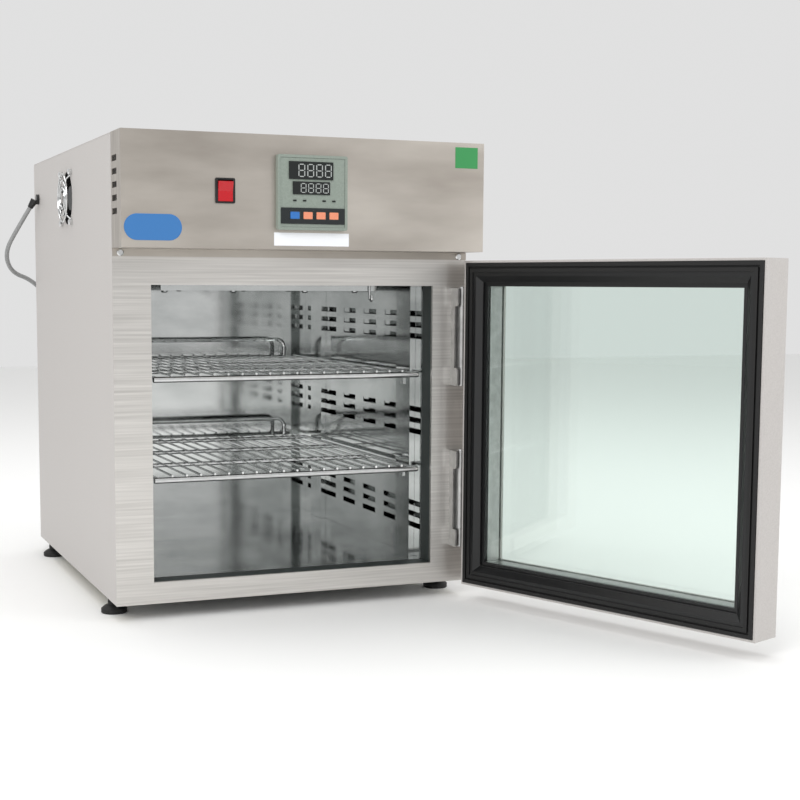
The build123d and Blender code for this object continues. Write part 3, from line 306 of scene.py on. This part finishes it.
class INCUBATOR_OT_metal(bpy.types.Operator):
    """Gives the sheets, wires and hinges their steel finishes"""

    bl_idname = "incubator.metal"
    bl_label = "Metal"

    def execute(self, context):
        finish = context.scene.incubator_finish
        # Brushed stainless sheet: long fine grain along the width, soft stretched highlights.
        header = material("brushed_stainless_header", "#b3aca4", Metallic=1.0)
        textured(header, finish.header_dark, finish.header_light, (220, 4, 60), (0.3, 0.48), 0.06)
        paint(header, "header_fascia", "header_strip")
        front = material("brushed_stainless_front", "#cfccc8", Metallic=1.0)
        textured(front, "#c4c1bd", "#dddad6", (180, 4, 3), (0.25, 0.4), 0.05)
        paint(front, "front_frame")
        # Powder-coated steel sheet: even light grey with a faint orange-peel skin.
        side = material("powder_coated_sheet", "#b9b5b1")
        textured(side, finish.side_dark, finish.side_light, (2, 2, 2), (0.42, 0.55), 0.05)
        paint(side, "side_panel_left", "side_panel_right", "top_cover", "rear_panel", "door_frame")
        # Bright annealed stainless: almost a mirror, with faint rolling waves.
        mirror = material("bright_annealed_stainless", "#c9cbca", Metallic=1.0)
        textured(mirror, "#bfc2c1", "#d6d8d7", (90, 90, 40), (0.06, 0.14), 0.25)
        paint(mirror, "chamber_liner", "duct_panel_left", "duct_panel_right", "ceiling_tray")
        paint(mirror, "upright_front_left", "upright_front_right", "upright_rear_left", "upright_rear_right")
        # Chromium plate on drawn wire: hard bright reflections.
        chrome = material("chrome_plated_wire", "#d5d6d6", Metallic=1.0)
        textured(chrome, "#cfd0d0", "#dddede", (8, 8, 8), (0.08, 0.16), 0.05)
        paint(chrome, "shelf_upper", "shelf_middle", "fan_finger_guard", "cabinet_screws")
        paint(chrome, "temperature_probe")
        paint(chrome, "door_handle", "shelf_clips", "hinge_pin_lower", "hinge_pin_upper", "heater_elements")
        # Satin zinc plate on pressed steel: soft grey metal.
        zinc = material("satin_zinc_plate", "#b9b9b8", Metallic=1.0)
        textured(zinc, "#adadac", "#c4c4c3", (12, 12, 12), (0.25, 0.4), 0.1)
        paint(zinc, "hinge_bracket_lower", "hinge_bracket_upper", "hinge_leaf_lower", "hinge_leaf_upper")
        paint(zinc, "base_pan", "control_deck", "glass_spacer", "circulation_fan")
        return {"FINISHED"}


class INCUBATOR_OT_plastics(bpy.types.Operator):
    """Gives the plastic, rubber and glass pieces their finishes"""

    bl_idname = "incubator.plastics"
    bl_label = "Plastics and glass"

    def execute(self, context):
        # Moulded ABS: black with a fine satin texture.
        black = material("moulded_abs_black", "#0c0d0e")
        textured(black, "#090a0b", "#121314", (1, 1, 1), (0.3, 0.45), 0.15)
        paint(black, "door_liner", "cooling_fan_frame", "cooling_fan_rotor")
        paint(black, "switch_housing", "cord_gland", "circulation_motor")
        # EPDM seal: deeper black, matt.
        rubber = material("epdm_seal", "#0a0a0a")
        textured(rubber, "#080808", "#101010", (2, 2, 2), (0.5, 0.7), 0.1)
        paint(rubber, "door_gasket")
        paint(rubber, "foot_front_left", "foot_front_right", "foot_rear_left", "foot_rear_right")
        # Moulded strip round the opening: dark green-grey.
        breaker = material("moulded_breaker_plastic", "#2b3130")
        textured(breaker, "#262b2a", "#333a38", (3, 3, 3), (0.4, 0.55), 0.1)
        paint(breaker, "breaker_frame")
        # Rigid foam behind the sheets: yellow and coarse.
        foam = material("polyurethane_foam", "#d8cda4")
        textured(foam, "#cfc49a", "#e2d8b2", (4, 4, 4), (0.8, 0.95), 0.5)
        paint(foam, "insulation")
        # Polycarbonate panel instrument: grey-green face.
        instrument = material("polycarbonate_grey_green", "#858f86")
        textured(instrument, "#808a81", "#8a948b", (2, 2, 2), (0.35, 0.45), 0.05)
        paint(instrument, "controller_housing", "controller_face")
        paint(material("key_cap_blue", "#2b6cb4", Roughness=0.35), "key_set")
        paint(material("key_cap_orange", "#e08c6c", Roughness=0.4), "key_shift", "key_down", "key_up")
        lens = material("polycarbonate_red_lens", "#c40d1c", Roughness=0.18, Transmission_Weight=0.15)
        paint(lens, "switch_rocker")
        paint(material("enamelled_badge_blue", "#2d6fae", Roughness=0.25, Coat_Weight=0.5), "badge_plate")
        plug = material("moulded_pvc_plug", "#858686")
        textured(plug, "#7d7e7e", "#8e8f8f", (2, 2, 2), (0.4, 0.55), 0.1)
        paint(plug, "mains_plug")
        # Float glass: clear, with a faint green body.
        glass = material("float_glass", "#f3faf7", Roughness=0.0, Transmission_Weight=1.0, IOR=1.5)
        paint(glass, "glass_inner", "glass_outer")
        return {"FINISHED"}


class INCUBATOR_OT_controls(bpy.types.Operator):
    """Adds the display windows, unlit digits, key band, lamps and blank labels"""

    bl_idname = "incubator.controls"
    bl_label = "Controls"

    def execute(self, context):
        low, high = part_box("controller_housing")
        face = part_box("controller_face")[0].y
        left, top = low.x, high.z
        glass = material("display_window_acrylic", "#0d1312", Roughness=0.12)
        unlit = material("unlit_segment_epoxy", "#a9adab", Roughness=0.5)
        windows, digits, lamps = bmesh.new(), bmesh.new(), bmesh.new()
        for x0, x1, z0, z1 in WINDOWS:
            plate(windows, (left + x0, left + x1), (face - 0.0009, face - 0.0001), (top - z1, top - z0))
            height, wide = (z1 - z0) * DIGIT_HEIGHT, (x1 - x0) * DIGIT_WIDTH
            for index in range(DIGITS):
                x = left + x0 + (x1 - x0) * (DIGIT_FIRST + DIGIT_PITCH * index)
                z = top - z1 + (z1 - z0) * DIGIT_FOOT
                bar = wide * BAR_WIDTH
                depth = (face - 0.0012, face - 0.0008)
                for level in (0, 0.5, 1):
                    centre = z + height * level
                    plate(digits, (x + bar, x + wide - bar), depth, (centre - bar / 2, centre + bar / 2))
                for edge in (x, x + wide):
                    for start in SEGMENT_STARTS:
                        upright = (z + height * start, z + height * (start + SEGMENT_LENGTH))
                        plate(digits, (edge - bar / 2, edge + bar / 2), depth, upright)
        for x in LAMPS:
            across = (left + x - LAMP_HALF[0], left + x + LAMP_HALF[0])
            upright = (top - LAMP_DROP - LAMP_HALF[1], top - LAMP_DROP + LAMP_HALF[1])
            plate(lamps, across, (face - 0.0006, face + 0.0002), upright)
        mesh_piece("display_windows", windows, glass, "cabinet")
        mesh_piece("display_digits", digits, unlit, "cabinet")
        mesh_piece("indicator_lamps", lamps, glass, "cabinet")
        band = bmesh.new()
        keys = [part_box(name) for name in ("key_set", "key_shift", "key_down", "key_up")]
        base, peak = keys[0][0].z, keys[0][1].z
        depth = (face - 0.0005, face - 0.0001)
        edge0, edge1 = left + BAND[0], left + BAND[1]
        plate(band, (edge0, edge1), depth, (peak + KEY_GAP, top - BAND[2]))
        plate(band, (edge0, edge1), depth, (top - BAND[3], base - KEY_GAP))
        stops = [edge0] + [x for a, b in keys for x in (a.x - KEY_GAP, b.x + KEY_GAP)] + [edge1]
        for start, end in zip(stops[::2], stops[1::2]):
            plate(band, (start, end), depth, (base - KEY_GAP, peak + KEY_GAP))
        foil = material("printed_polyester_black", "#11181a", Roughness=0.35)
        mesh_piece("key_band", band, foil, "cabinet")
        near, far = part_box("header_fascia")
        skin = (near.y - 0.0003, near.y + 0.0001)
        label = bmesh.new()
        plate(label, (low.x - LABEL[0], high.x + LABEL[1]), skin, (low.z - LABEL[3], low.z - LABEL[2]))
        paper = material("coated_paper_label", context.scene.incubator_finish.label, Roughness=0.6)
        mesh_piece("blank_label", label, paper, "cabinet")
        sticker = bmesh.new()
        across = (far.x - STICKER[0], far.x - STICKER[1])
        plate(sticker, across, skin, (far.z - STICKER[3], far.z - STICKER[2]))
        vinyl = material("vinyl_sticker_green", "#2f8a4b", Roughness=0.4)
        mesh_piece("plain_green_sticker", sticker, vinyl, "cabinet")
        return {"FINISHED"}


class INCUBATOR_PT_panel(bpy.types.Panel):
    """Lists the operators that dress the incubator"""

    bl_label = "Incubator"
    bl_idname = "INCUBATOR_PT_panel"
    bl_space_type = "VIEW_3D"
    bl_region_type = "UI"
    bl_category = "Incubator"

    def draw(self, context):
        for operator in OPERATORS:
            self.layout.operator(operator.bl_idname)


OPERATORS = (
    INCUBATOR_OT_stage,
    INCUBATOR_OT_lead,
    INCUBATOR_OT_metal,
    INCUBATOR_OT_plastics,
    INCUBATOR_OT_controls,
)
CLASSES = (IncubatorFinish, IncubatorLead, *OPERATORS, INCUBATOR_PT_panel)


def register():
    for item in CLASSES:
        bpy.utils.register_class(item)
    bpy.types.Scene.incubator_finish = bpy.props.PointerProperty(type=IncubatorFinish)
    bpy.types.Scene.incubator_lead = bpy.props.PointerProperty(type=IncubatorLead)


def unregister():
    del bpy.types.Scene.incubator_lead
    del bpy.types.Scene.incubator_finish
    for item in reversed(CLASSES):
        bpy.utils.unregister_class(item)


def main():
    register()
    for operator in OPERATORS:
        group, name = operator.bl_idname.split(".")
        getattr(getattr(bpy.ops, group), name)()


if __name__ == "__main__":
    main()
